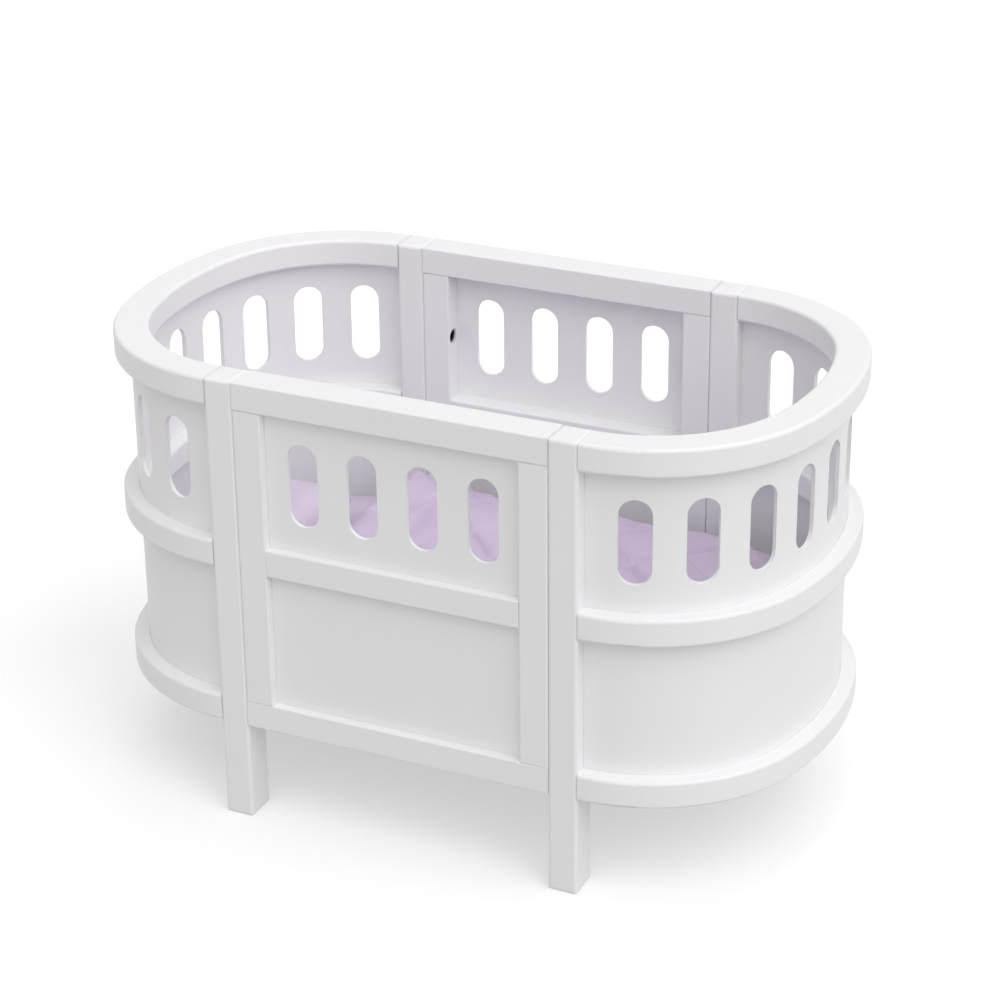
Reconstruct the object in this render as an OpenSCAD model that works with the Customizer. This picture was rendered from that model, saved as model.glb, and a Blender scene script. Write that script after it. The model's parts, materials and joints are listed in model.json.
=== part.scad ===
// A small free-standing crib: two straight frame-and-panel sides bolted to four posts,
// two bowed ends of bent rails and bent panels, a base board on cleats, and loose bedding.
// Origin: the middle of the floor under the crib. +X runs along it, -Y is the front, +Z is up.

/* [Overall] */
// Length of a straight side, post to post
side_span = 228; // [190:1:280]
// Overall width, front face to rear face
body_w = 310; // [258:1:372]
// Overall height, floor to the top of the rails
body_h = 332; // [276:1:400]
// How far each end bows out past its posts
end_depth = 129; // [107:1:155]
// How much further the middle of an end reaches than its corner radius
end_bow = 4; // [3:0.5:8]

/* [Frame members] */
// Width of a post, along the crib
post_w = 21; // [17:0.5:26]
// Depth of every post, rail and stile, from outer to inner face
frame_d = 25; // [22:0.5:30]
// Height of every rail
rail_h = 20; // [16:0.5:24]
// Width of a stile
stile_w = 20.5; // [17:0.5:25]
// Height of the legs below the bottom rails
leg_h = 73.5; // [40:0.5:95]
// Height of the upper field, between middle and top rails
upper_field_h = 99; // [82:1:120]
// Rounding of the posts' edges
post_r = 2.5; // [1:0.5:4]
// Rounding of the straight rails' and stiles' edges
rail_r = 1.2; // [0.5:0.1:3]
// Rounding of the bent rails' edges
bow_r = 2.5; // [1:0.5:4]

/* [Panels] */
// Thickness of the panels
panel_t = 3; // [2:0.5:5]
// Recess of a side panel behind the outer face
side_recess = 6.5; // [4:0.5:8]
// Recess of an end panel behind the outer face
end_recess = 11; // [8:0.5:13]
// Depth of the panel grooves
groove_d = 5; // [3:0.5:6]
// Width of a slot
slot_w = 22; // [16:0.5:26]
// Height of a slot
slot_h = 60; // [40:1:76]
// Plain panel between a stile and the first slot
side_slot_margin = 16.5; // [8:0.5:24]
// Plain panel between a post and the first end slot
end_slot_margin = 22; // [12:0.5:30]
// Slots in each side
side_slots = 4; // [2:1:5]
// Slots in each end
end_slots = 9; // [5:2:9]

/* [Base] */
// Thickness of the base board
base_t = 6; // [4:0.5:9]
// Gap between the base board and the frame round it
base_gap = 1; // [0.5:0.5:3]
// Width and height of a cleat
cleat_w = 12; // [8:0.5:16]
// Length of a straight cleat
cleat_l = 190; // [120:5:220]
// Length of a bent cleat, across the crib
end_cleat_l = 130; // [90:5:160]

/* [Hardware] */
// Diameter of the dowels
dowel_d = 5; // [4:0.5:6]
// Length of dowel in a rail or stile
dowel_in_rail = 13; // [8:1:18]
// Diameter of the connector bolts' shanks
bolt_d = 6; // [5:0.5:6]
// Diameter of the bolts' heads
bolt_head_d = 10; // [8:0.5:11]
// Height of the bolts' heads
bolt_head_h = 6; // [4:0.5:7]
// Depth of the recess that hides a bolt's head
bolt_recess = 7.5; // [6.5:0.5:9]
// Diameter of the threaded inserts
insert_d = 9; // [8:0.5:10]
// Diameter of the wood screws
screw_d = 3.5; // [3:0.5:4]

/* [Bedding] */
// Thickness of the mattress
mattress_t = 40; // [25:1:50]
// Gap between the mattress and the frame round it
mattress_gap = 2; // [1:0.5:4]
// Length of the pillow, along the crib
pillow_l = 90; // [70:1:100]
// Width of the pillow, across the crib
pillow_w = 150; // [110:1:155]
// Thickness of the pillow
pillow_t = 44; // [24:1:52]
// Thickness of the blanket as it lies
blanket_t = 34; // [10:1:44]
// Gap between the blanket's edge and the mattress's edge
blanket_inset = 8; // [4:1:20]

/* [Hidden] */
$fn = 96;

front = -1;
rear = 1;
left = -1;
right = 1;
eps = 0.01;
over = 1;               // how far a cutter runs past the face it cuts
fit = 0.1;              // clearance round a tongue, dowel or insert
tongue_gap = 0.5;       // clearance past the end of a tongue, dowel, bolt or screw
head_clear = 0.5;       // clearance round a bolt's head
shank_clear = 0.3;      // clearance round a bolt's shank in a stile
soft_gap = 0.4;         // clearance between loose soft pieces
seam = 0.04;            // step at the glue joints of a bent rail
seam_lap = 1;           // how far a bent rail's middle segment runs on into its corner segments
web = 3;                // wood left between holes that meet in a post
dowel_web = 1;          // wood left between a stile's dowel and the dowels it meets in a rail
end_dowel_inset = 6.5;  // distance of the bent rails' dowels from the outer and inner faces
bolt_hold = 2;          // depth past an insert for the tip of its bolt
socket_share = 0.95;    // width of the socket in a bolt's head, as a share of the shank
screw_grip = 9;         // length of screw in the wood under a cleat or the base board
cleat_screw_share = 0.37; // place of a straight cleat's outer screws, as a share of its length
base_screw_share = 0.2; // place of the base board's screws, as a share of a cleat's length
cleat_r = 0.5;          // easing of the straight cleats' edges
pillow_r = 12;          // rounding of the pillow's edges
pillow_back = 14;       // distance of the pillow from the mattress's left end
blanket_gap = 6;        // distance of the blanket from the pillow

// heights
top_z = body_h - rail_h;
mid_z = top_z - upper_field_h - rail_h;
upper_z = mid_z + rail_h;
lower_z = leg_h + rail_h;
upper_mid = (upper_z + top_z) / 2;
lower_mid = (lower_z + mid_z) / 2;

// straight sides
half_w = body_w / 2;
post_x = side_span / 2;
end_x = post_x + post_w;
field_w = side_span - 2 * stile_w;
side_pitch = (field_w - 2 * side_slot_margin - slot_w) / (side_slots - 1);

// bowed ends: two corner arcs and one flatter arc that they run into
corner_r = end_depth - end_bow;
corner_y = half_w - corner_r;
bow_radius = (end_depth + corner_r) / 2 + corner_y * corner_y / (2 * end_bow);
bow_x = end_depth - bow_radius;
bow_angle = atan2(corner_y, -bow_x);
lap_angle = seam_lap / bow_radius * 180 / PI;
panel_mid = end_recess + panel_t / 2;
bow_half_arc = (bow_radius - panel_mid) * bow_angle * PI / 180;
corner_arc = (corner_r - panel_mid) * (90 - bow_angle) * PI / 180;
end_arc = 2 * (bow_half_arc + corner_arc);
end_pitch = (end_arc - 2 * end_slot_margin - slot_w) / (end_slots - 1);

// bolts and dowels
bolt_y = (side_recess + panel_t + frame_d) / 2;
dowel_in_post = (post_w - web) / 2;
end_dowel_y = [end_dowel_inset, frame_d - end_dowel_inset];
side_dowel_y = frame_d / 2;
stile_dowel_y = frame_d / 2 + web;
stile_dowel_in_rail = (rail_h - dowel_d) / 2 - dowel_web;
insert_l = post_w - groove_d - web - bolt_hold;
bolt_l = stile_w - bolt_recess + insert_l + bolt_hold / 2;
tenon = groove_d - tongue_gap;
bolt_z = [lower_mid, upper_mid];
rail_mid_z = [leg_h + rail_h / 2, mid_z + rail_h / 2, top_z + rail_h / 2];
stile_end_z = [lower_z, top_z];

// base and bedding
cleat_z = leg_h;
base_z = cleat_z + cleat_w;
bed_z = base_z + base_t;
bed_top = bed_z + mattress_t + soft_gap;
mattress_in = frame_d + mattress_gap;
cleat_mid_z = cleat_z + cleat_w / 2;
cleat_screw_x = [-cleat_screw_share * cleat_l, 0, cleat_screw_share * cleat_l];
end_cleat_screw_a = [-end_cleat_l / 3, end_cleat_l / 3];
base_screw_x = [-base_screw_share * cleat_l, base_screw_share * cleat_l];
base_screw_y = frame_d + cleat_w / 2;
screw_l = cleat_w + screw_grip;
base_screw_l = base_t + screw_grip;
bed_reach = end_x + end_depth - mattress_in;
pillow_x = -bed_reach + pillow_back;
blanket_x = pillow_x + pillow_l + blanket_gap;

paint = "#f1f1ef";
bare_wood = "#d9bd8f";
black_steel = "#1b1b1d";
zinc = "silver";
lilac = "#c9b3d6";

// ---- shared shapes ----

module rounded_rect(w, h, r) {
  translate([r, 0]) square([w - 2 * r, h]);
  translate([0, r]) square([w, h - 2 * r]);
  for (x = [r, w - r], y = [r, h - r]) translate([x, y]) circle(r);
}

// a block with every edge eased by r
module block(size, r) {
  intersection() {
    linear_extrude(size.z) rounded_rect(size.x, size.y, r);
    translate([0, size.y, 0]) rotate([90, 0, 0])
      linear_extrude(size.y) rounded_rect(size.x, size.z, r);
    rotate([90, 0, 90]) linear_extrude(size.x) rounded_rect(size.y, size.z, r);
  }
}

// a bar that lies along X, centred on x = 0, with its long edges eased by r
module bar(length, d, h, r) {
  translate([-length / 2, 0, 0]) rotate([90, 0, 90])
    linear_extrude(length) rounded_rect(d, h, r);
}

// an upright slot cutter that runs along Y through y = 0
module slot_cutter(length) {
  r = slot_w / 2;
  rotate([90, 0, 0]) translate([0, 0, -length / 2]) {
    for (y = [-1, 1] * (slot_h / 2 - r)) translate([0, y, 0]) cylinder(h = length, r = r);
    translate([-r, r - slot_h / 2, 0]) cube([slot_w, slot_h - slot_w, length]);
  }
}

module rod_x(x, y, z, length, r) {
  translate([x, y, z]) rotate([0, 90, 0]) cylinder(h = length, r = r);
}

// puts a shape drawn with y = 0 on the outer face, y rising inwards, onto one side
module on_side(s) {
  if (s == front) translate([0, -half_w, 0]) children();
  else translate([0, half_w, 0]) mirror([0, 1, 0]) children();
}

// puts a shape drawn for the right end onto one end
module on_end(e) {
  if (e == right) children();
  else mirror([1, 0, 0]) children();
}

// turns a 2D section round the middle of the bowed end; its x is the distance inwards
module sweep_middle() {
  half_sweep = bow_angle + lap_angle;
  translate([end_x + bow_x, 0, 0]) rotate([0, 0, -half_sweep])
    rotate_extrude(angle = 2 * half_sweep, $fn = 360)
      translate([bow_radius, 0]) mirror([1, 0]) children();
}

// turns a 2D section round the two corners of the bowed end
module sweep_corners() {
  for (s = [front, rear])
    translate([end_x, s * corner_y, 0]) rotate([0, 0, s == rear ? bow_angle : -90])
      rotate_extrude(angle = 90 - bow_angle, $fn = 240)
        translate([corner_r, 0]) mirror([1, 0]) children();
}

// moves to a point at arc length a from the middle of the end, on the panel's middle surface,
// with -Y pointing outwards there
module along_end(a) {
  side = a < 0 ? front : rear;
  past = abs(a) - bow_half_arc;
  if (past <= 0) {
    angle = a / (bow_radius - panel_mid) * 180 / PI;
    translate([end_x + bow_x, 0, 0]) rotate([0, 0, angle])
      translate([bow_radius - panel_mid, 0, 0]) rotate([0, 0, 90]) children();
  } else {
    angle = bow_angle + past / (corner_r - panel_mid) * 180 / PI;
    translate([end_x, side * corner_y, 0]) rotate([0, 0, side * angle])
      translate([corner_r - panel_mid, 0, 0]) rotate([0, 0, 90]) children();
  }
}

// a slab with the crib's outline, drawn in by inset
module plan_slab(inset, h) {
  reach = 2 * bow_radius;
  translate([-end_x, inset - half_w, 0]) cube([2 * end_x, body_w - 2 * inset, h]);
  edge = reach * [cos(bow_angle), sin(bow_angle)];
  for (e = [left, right]) on_end(e) {
    for (s = [front, rear])
      translate([end_x, s * corner_y, 0]) cylinder(h = h, r = corner_r - inset, $fn = 240);
    intersection() {
      translate([end_x + bow_x, 0, 0]) cylinder(h = h, r = bow_radius - inset, $fn = 360);
      translate([end_x + bow_x, 0, 0])
        linear_extrude(h) polygon([[0, 0], [edge.x, -edge.y], edge]);
      translate([end_x, -half_w, 0]) cube([end_depth, body_w, h]);
    }
  }
}

// ---- hole sets, drawn for the right end and the front side ----

module end_dowel_set(r, grow) {
  length = dowel_in_post + dowel_in_rail + 2 * grow;
  for (z = rail_mid_z, y = end_dowel_y) rod_x(end_x - dowel_in_post - grow, y, z, length, r);
}

module side_dowel_set(r, grow) {
  length = dowel_in_post + dowel_in_rail + 2 * grow;
  for (z = [rail_mid_z[0], rail_mid_z[2]])
    rod_x(post_x - dowel_in_rail - grow, side_dowel_y, z, length, r);
}

module stile_dowel_set(r, grow) {
  for (z = stile_end_z) {
    down = z == lower_z ? stile_dowel_in_rail : dowel_in_rail;
    translate([post_x - stile_w / 2, stile_dowel_y, z - down - grow])
      cylinder(h = stile_dowel_in_rail + dowel_in_rail + 2 * grow, r = r);
  }
}

// ---- posts ----

module post(e, s) {
  color(paint) on_end(e) on_side(s) difference() {
    translate([post_x, 0, 0]) block([post_w, frame_d, body_h], post_r);
    translate([end_x - groove_d, end_recess - fit, lower_z - groove_d])
      cube([groove_d + over, panel_t + 2 * fit, top_z - lower_z + 2 * groove_d]);
    end_dowel_set(dowel_d / 2 + fit, tongue_gap);
    side_dowel_set(dowel_d / 2 + fit, tongue_gap);
    for (z = bolt_z) {
      rod_x(post_x - over, bolt_y, z, insert_l + over, insert_d / 2 + fit);
      rod_x(post_x - over, bolt_y, z, insert_l + bolt_hold + over, bolt_d / 2 + fit);
    }
  }
}

// ---- straight sides ----

module side_groove(z) {
  translate([-post_x - over, side_recess - fit, z])
    cube([side_span + 2 * over, panel_t + 2 * fit, groove_d + over]);
}

module rail_end_holes() {
  for (e = [left, right]) on_end(e) {
    side_dowel_set(dowel_d / 2 + fit, tongue_gap);
    stile_dowel_set(dowel_d / 2 + fit, tongue_gap);
  }
}

module side_top_rail(s) {
  color(paint) on_side(s) difference() {
    translate([0, 0, top_z]) bar(side_span, frame_d, rail_h, rail_r);
    side_groove(top_z - over);
    rail_end_holes();
  }
}

module side_bottom_rail(s) {
  color(paint) on_side(s) difference() {
    translate([0, 0, leg_h]) bar(side_span, frame_d, rail_h, rail_r);
    side_groove(lower_z - groove_d);
    rail_end_holes();
    on_cleat_screws_side() cleat_screw_hole();
  }
}

module side_mid_rail(s) {
  color(paint) on_side(s) {
    difference() {
      translate([0, 0, mid_z]) bar(field_w, frame_d, rail_h, rail_r);
      side_groove(mid_z - over);
      side_groove(upper_z - groove_d);
    }
    for (e = [left, right]) on_end(e)
      translate([field_w / 2 - eps, side_recess, mid_z + groove_d])
        cube([tenon + eps, panel_t, rail_h - 2 * groove_d]);
  }
}

module side_stile(e, s) {
  color(paint) on_end(e) on_side(s) {
    difference() {
      translate([post_x - stile_w, 0, lower_z])
        linear_extrude(top_z - lower_z) rounded_rect(stile_w, frame_d, rail_r);
      translate([post_x - stile_w - over, side_recess - fit, lower_z - over])
        cube([groove_d + over, panel_t + 2 * fit, top_z - lower_z + 2 * over]);
      stile_dowel_set(dowel_d / 2 + fit, tongue_gap);
      for (z = bolt_z) {
        rod_x(post_x - stile_w - over, bolt_y, z, bolt_recess + over, bolt_head_d / 2 + head_clear);
        rod_x(post_x - stile_w - over, bolt_y, z, stile_w + 2 * over, bolt_d / 2 + shank_clear);
      }
    }
    for (z = [lower_z - tenon, top_z - eps])
      translate([post_x - stile_w + groove_d, side_recess, z])
        cube([stile_w - groove_d - rail_r, panel_t, tenon + eps]);
  }
}

// a side panel stands on the floor of the groove below it
module side_panel(s, z0, z1, slots) {
  color(paint) on_side(s) difference() {
    translate([-field_w / 2 - tenon, side_recess, z0 - groove_d])
      cube([field_w + 2 * tenon, panel_t, z1 - z0 + groove_d + tenon]);
    for (i = [0 : 1 : slots - 1])
      translate([(i - (slots - 1) / 2) * side_pitch, side_recess, (z0 + z1) / 2])
        slot_cutter(4 * panel_t);
  }
}

// ---- bowed ends ----

// section of a bent rail with its panel grooves, drawn in by inset
module end_rail_section(z, groove_below, groove_above, inset) {
  groove_w = panel_t + 2 * (fit + inset);
  difference() {
    translate([inset, z + inset]) rounded_rect(frame_d - 2 * inset, rail_h - 2 * inset, bow_r - inset);
    translate([end_recess - fit - inset, 0]) {
      if (groove_below) translate([0, z - over]) square([groove_w, groove_d + over + inset]);
      if (groove_above)
        translate([0, z + rail_h - groove_d - inset]) square([groove_w, groove_d + over]);
    }
  }
}

// a bent rail is glued up from two corner segments and a middle segment a hair under flush
module end_rail(e, z, groove_below, groove_above) {
  color(paint) on_end(e) difference() {
    union() {
      sweep_corners() end_rail_section(z, groove_below, groove_above, 0);
      sweep_middle() end_rail_section(z, groove_below, groove_above, seam);
    }
    for (s = [front, rear]) on_side(s) end_dowel_set(dowel_d / 2 + fit, tongue_gap);
    if (z == leg_h) on_cleat_screws_end() cleat_screw_hole();
  }
}

// an end panel stands in the groove below it and runs on into the posts' grooves
module end_panel(e, z0, z1, slots) {
  h = z1 - z0 + groove_d + tenon;
  color(paint) on_end(e) difference() {
    intersection() {
      translate([0, 0, z0 - groove_d]) plan_slab(end_recess, h);
      translate([end_x - tenon, -half_w, z0 - groove_d]) cube([tenon + end_depth, body_w, h]);
    }
    translate([0, 0, z0 - groove_d - over]) plan_slab(end_recess + panel_t, h + 2 * over);
    for (i = [0 : 1 : slots - 1]) translate([0, 0, (z0 + z1) / 2])
      along_end((i - (slots - 1) / 2) * end_pitch) slot_cutter(4 * panel_t);
  }
}

// ---- base ----

// puts a screw that points along +Z, its head at z = 0, at each screw of a straight cleat
module on_cleat_screws_side() {
  for (x = cleat_screw_x)
    translate([x, frame_d + cleat_w, cleat_mid_z]) rotate([90, 0, 0]) children();
}

// the same for a bent cleat, drawn for the right end
module on_cleat_screws_end() {
  for (a = end_cleat_screw_a) along_end(a)
    translate([0, frame_d + cleat_w - panel_mid, cleat_mid_z]) rotate([90, 0, 0]) children();
}

// the same for the base board on one side
module on_base_screws() {
  for (x = base_screw_x) translate([x, base_screw_y, bed_z]) rotate([180, 0, 0]) children();
}

module screw_shape(length, grow) {
  cylinder(h = length, r = screw_d / 2 + grow);
  cylinder(h = screw_d / 2, r1 = screw_d + grow, r2 = screw_d / 2 + grow);
}

module cleat_screw_hole() {
  cylinder(h = screw_l + tongue_gap, r = screw_d / 2 + fit);
}

// a hole right through with a countersink at its head
module countersunk_hole(length) {
  screw_shape(length + over, fit);
  translate([0, 0, -over]) cylinder(h = over + eps, r = screw_d + fit);
}

module side_cleat(s) {
  color(paint) on_side(s) difference() {
    translate([0, frame_d, cleat_z]) bar(cleat_l, cleat_w, cleat_w, cleat_r);
    on_cleat_screws_side() countersunk_hole(cleat_w);
    on_base_screws() cylinder(h = base_screw_l + tongue_gap, r = screw_d / 2 + fit);
  }
}

module end_cleat(e) {
  color(paint) on_end(e) difference() {
    intersection() {
      translate([0, 0, cleat_z]) plan_slab(frame_d, cleat_w);
      translate([end_x, -end_cleat_l / 2, cleat_z]) cube([end_depth, end_cleat_l, cleat_w]);
    }
    translate([0, 0, cleat_z - over]) plan_slab(frame_d + cleat_w, cleat_w + 2 * over);
    on_cleat_screws_end() countersunk_hole(cleat_w);
  }
}

module base_board() {
  color(paint) difference() {
    translate([0, 0, base_z]) plan_slab(frame_d + base_gap, base_t);
    for (s = [front, rear]) on_side(s) on_base_screws() countersunk_hole(base_t);
  }
}

// ---- hardware ----

module on_all_corners() {
  for (e = [left, right], s = [front, rear]) on_end(e) on_side(s) children();
}

module on_all_bolts() {
  on_all_corners() for (z = bolt_z) translate([0, 0, z]) children();
}

// socket-head bolts that run from a stile's inner edge through it into the post
module connector_bolts() {
  head_x = post_x - stile_w + bolt_recess - bolt_head_h;
  color(black_steel) on_all_bolts() difference() {
    union() {
      rod_x(head_x, bolt_y, 0, bolt_head_h, bolt_head_d / 2);
      rod_x(head_x, bolt_y, 0, bolt_head_h + bolt_l, bolt_d / 2);
    }
    translate([head_x - over, bolt_y, 0]) rotate([0, 90, 0])
      cylinder(h = over + bolt_head_h / 2, d = socket_share * bolt_d, $fn = 6);
  }
}

module threaded_inserts() {
  color(zinc) on_all_bolts() difference() {
    rod_x(post_x, bolt_y, 0, insert_l, insert_d / 2);
    rod_x(post_x - over, bolt_y, 0, insert_l + 2 * over, bolt_d / 2 + fit / 2);
  }
}

module end_rail_dowels() {
  color(bare_wood) on_all_corners() end_dowel_set(dowel_d / 2, 0);
}

module side_rail_dowels() {
  color(bare_wood) on_all_corners() side_dowel_set(dowel_d / 2, 0);
}

module stile_dowels() {
  color(bare_wood) on_all_corners() stile_dowel_set(dowel_d / 2, 0);
}

module cleat_screws() {
  color(zinc) {
    for (s = [front, rear]) on_side(s) on_cleat_screws_side() screw_shape(screw_l, 0);
    for (e = [left, right]) on_end(e) on_cleat_screws_end() screw_shape(screw_l, 0);
  }
}

module base_screws() {
  color(zinc) for (s = [front, rear]) on_side(s) on_base_screws() screw_shape(base_screw_l, 0);
}

// ---- bedding ----

module mattress() {
  color(lilac) translate([0, 0, bed_z]) plan_slab(mattress_in, mattress_t);
}

module pillow() {
  color(lilac) translate([pillow_x, -pillow_w / 2, bed_top])
    block([pillow_l, pillow_w, pillow_t], min(pillow_r, pillow_t / 3));
}

module blanket() {
  color(lilac) intersection() {
    translate([0, 0, bed_top]) plan_slab(mattress_in + blanket_inset, blanket_t);
    translate([blanket_x, -half_w, bed_top]) cube([end_x + end_depth - blanket_x, body_w, blanket_t]);
  }
}

post(left, front);  // post_front_left
post(right, front);  // post_front_right
post(left, rear);  // post_rear_left
post(right, rear);  // post_rear_right
side_top_rail(front);  // front_top_rail
side_mid_rail(front);  // front_mid_rail
side_bottom_rail(front);  // front_bottom_rail
side_stile(left, front);  // front_left_stile
side_stile(right, front);  // front_right_stile
side_panel(front, upper_z, top_z, side_slots);  // front_upper_panel
side_panel(front, lower_z, mid_z, 0);  // front_lower_panel
side_top_rail(rear);  // rear_top_rail
side_mid_rail(rear);  // rear_mid_rail
side_bottom_rail(rear);  // rear_bottom_rail
side_stile(left, rear);  // rear_left_stile
side_stile(right, rear);  // rear_right_stile
side_panel(rear, upper_z, top_z, side_slots);  // rear_upper_panel
side_panel(rear, lower_z, mid_z, 0);  // rear_lower_panel
end_rail(left, top_z, true, false);  // left_end_top_rail
end_rail(left, mid_z, true, true);  // left_end_mid_rail
end_rail(left, leg_h, false, true);  // left_end_bottom_rail
end_panel(left, upper_z, top_z, end_slots);  // left_end_upper_panel
end_panel(left, lower_z, mid_z, 0);  // left_end_lower_panel
end_rail(right, top_z, true, false);  // right_end_top_rail
end_rail(right, mid_z, true, true);  // right_end_mid_rail
end_rail(right, leg_h, false, true);  // right_end_bottom_rail
end_panel(right, upper_z, top_z, end_slots);  // right_end_upper_panel
end_panel(right, lower_z, mid_z, 0);  // right_end_lower_panel
side_cleat(front);  // front_cleat
side_cleat(rear);  // rear_cleat
end_cleat(left);  // left_cleat
end_cleat(right);  // right_cleat
base_board();
connector_bolts();
threaded_inserts();
end_rail_dowels();
side_rail_dowels();
stile_dowels();
cleat_screws();
base_screws();
mattress();
pillow();
blanket();
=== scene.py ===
"""A doll's crib with bowed, slotted ends and lilac bedding, its studio and its camera.

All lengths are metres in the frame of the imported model: +X runs along the crib to its right
end, +Y to its rear side and +Z up, with the origin on the floor under its middle.
"""

import json
import logging
import math
from dataclasses import dataclass
from enum import Enum

import bpy
import numpy as np
from mathutils import Matrix, Vector
from mathutils.bvhtree import BVHTree


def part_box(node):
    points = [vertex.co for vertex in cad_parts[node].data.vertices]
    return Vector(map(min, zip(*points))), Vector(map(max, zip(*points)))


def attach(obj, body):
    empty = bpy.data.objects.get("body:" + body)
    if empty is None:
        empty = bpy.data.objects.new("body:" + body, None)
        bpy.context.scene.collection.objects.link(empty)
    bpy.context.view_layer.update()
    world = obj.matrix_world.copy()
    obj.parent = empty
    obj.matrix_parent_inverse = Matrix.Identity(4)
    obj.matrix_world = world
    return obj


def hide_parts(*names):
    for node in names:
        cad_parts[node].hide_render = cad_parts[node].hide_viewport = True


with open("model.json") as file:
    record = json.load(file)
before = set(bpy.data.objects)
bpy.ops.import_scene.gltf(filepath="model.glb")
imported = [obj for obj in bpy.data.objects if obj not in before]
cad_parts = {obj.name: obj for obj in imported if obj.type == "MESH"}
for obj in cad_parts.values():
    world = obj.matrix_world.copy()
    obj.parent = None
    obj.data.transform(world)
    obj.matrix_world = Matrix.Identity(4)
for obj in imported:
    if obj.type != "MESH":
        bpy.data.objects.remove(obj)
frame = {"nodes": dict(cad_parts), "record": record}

log = logging.getLogger("crib")

MM = 0.001
SUBDIVISION = 1
SIM_FRAMES = 20
REST_GAP = 0.1 * MM
RAY_START = 20 * MM
FLAT_SHARES = (0.02, 0.25, 0.5, 0.75, 0.9)


# ---- small helpers ----


def linear(hex_colour: str) -> tuple[float, float, float, float]:
    """Turns an sRGB hex colour into linear RGBA.

    Args:
        hex_colour: The colour, such as "#f1f2f2".

    Returns:
        Red, green, blue and an alpha of 1.
    """
    s = np.array([int(hex_colour[i : i + 2], 16) for i in (1, 3, 5)]) / 255
    rgb = np.where(s <= 0.04045, s / 12.92, ((s + 0.055) / 1.055) ** 2.4)
    return (*map(float, rgb), 1.0)


def add_node(
    tree: bpy.types.NodeTree, kind: str, sockets: dict | None = None, **settings: object
) -> bpy.types.Node:
    """Adds one node with its settings and links.

    Args:
        tree: The node tree it goes into.
        kind: The node's type, without "ShaderNode".
        sockets: By input name or number, a value or the output socket to link.
        settings: The node's own settings.

    Returns:
        The new node.
    """
    made = tree.nodes.new("ShaderNode" + kind)
    for name, value in settings.items():
        setattr(made, name, value)
    for name, value in (sockets or {}).items():
        if isinstance(value, bpy.types.NodeSocket):
            tree.links.new(value, made.inputs[name])
        else:
            made.inputs[name].default_value = value
    return made


def per_mm(size: float) -> float:
    """Gives the scale of a noise texture whose features are size millimetres wide."""
    return 1.0 / (size * MM)


def ripples(points: np.ndarray, wavelength: float, count: int, seed: int) -> np.ndarray:
    """A smooth random field: the mean of sines along random directions, between -1 and 1.

    Args:
        points: The places, n by 2 or n by 3.
        wavelength: The typical length of a ripple.
        count: How many sines are summed.
        seed: The seed of the directions, lengths and phases.

    Returns:
        The field at each point.
    """
    rng = np.random.default_rng(seed)
    waves = rng.normal(size=(count, points.shape[1]))
    waves /= np.linalg.norm(waves, axis=1, keepdims=True)
    waves *= 2 * math.pi / (wavelength * rng.uniform(0.7, 1.4, (count, 1)))
    phases = rng.uniform(0, 2 * math.pi, count)
    return np.sin(points @ waves.T + phases).mean(1) * math.sqrt(2)


# ---- finishes ----


class Finish:
    """What every finish has: a name, and a material made once from its nodes."""

    name: str

    def start(self) -> tuple[bpy.types.NodeTree, bpy.types.Node, bpy.types.NodeSocket]:
        """Makes an empty material.

        Returns:
            Its tree, its shader and the object coordinates.
        """
        material = bpy.data.materials.new(self.name)
        material.use_nodes = True
        tree = material.node_tree
        tree.nodes.clear()
        shader = add_node(tree, "BsdfPrincipled")
        add_node(tree, "OutputMaterial", {"Surface": shader.outputs["BSDF"]})
        coordinates = add_node(tree, "TexCoord").outputs["Object"]
        return tree, shader, coordinates

    def nodes(self) -> None:
        """Builds the material's nodes."""
        raise NotImplementedError

    def material(self) -> bpy.types.Material:
        """Gives the finish's material, and builds it the first time.

        Returns:
            The material.
        """
        if self.name not in bpy.data.materials:
            self.nodes()
        return bpy.data.materials[self.name]

    def dress(self, piece: bpy.types.Object) -> None:
        """Puts the finish on a piece in place of whatever it had."""
        piece.data.materials.clear()
        piece.data.materials.append(self.material())


class Along(Enum):
    """The direction that a member's wood runs in, as the stretch of its grain pattern."""

    LENGTH = (0.04, 1.0, 1.0)
    HEIGHT = (1.0, 1.0, 0.04)
    ROUND = (0.12, 0.12, 1.0)


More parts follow.
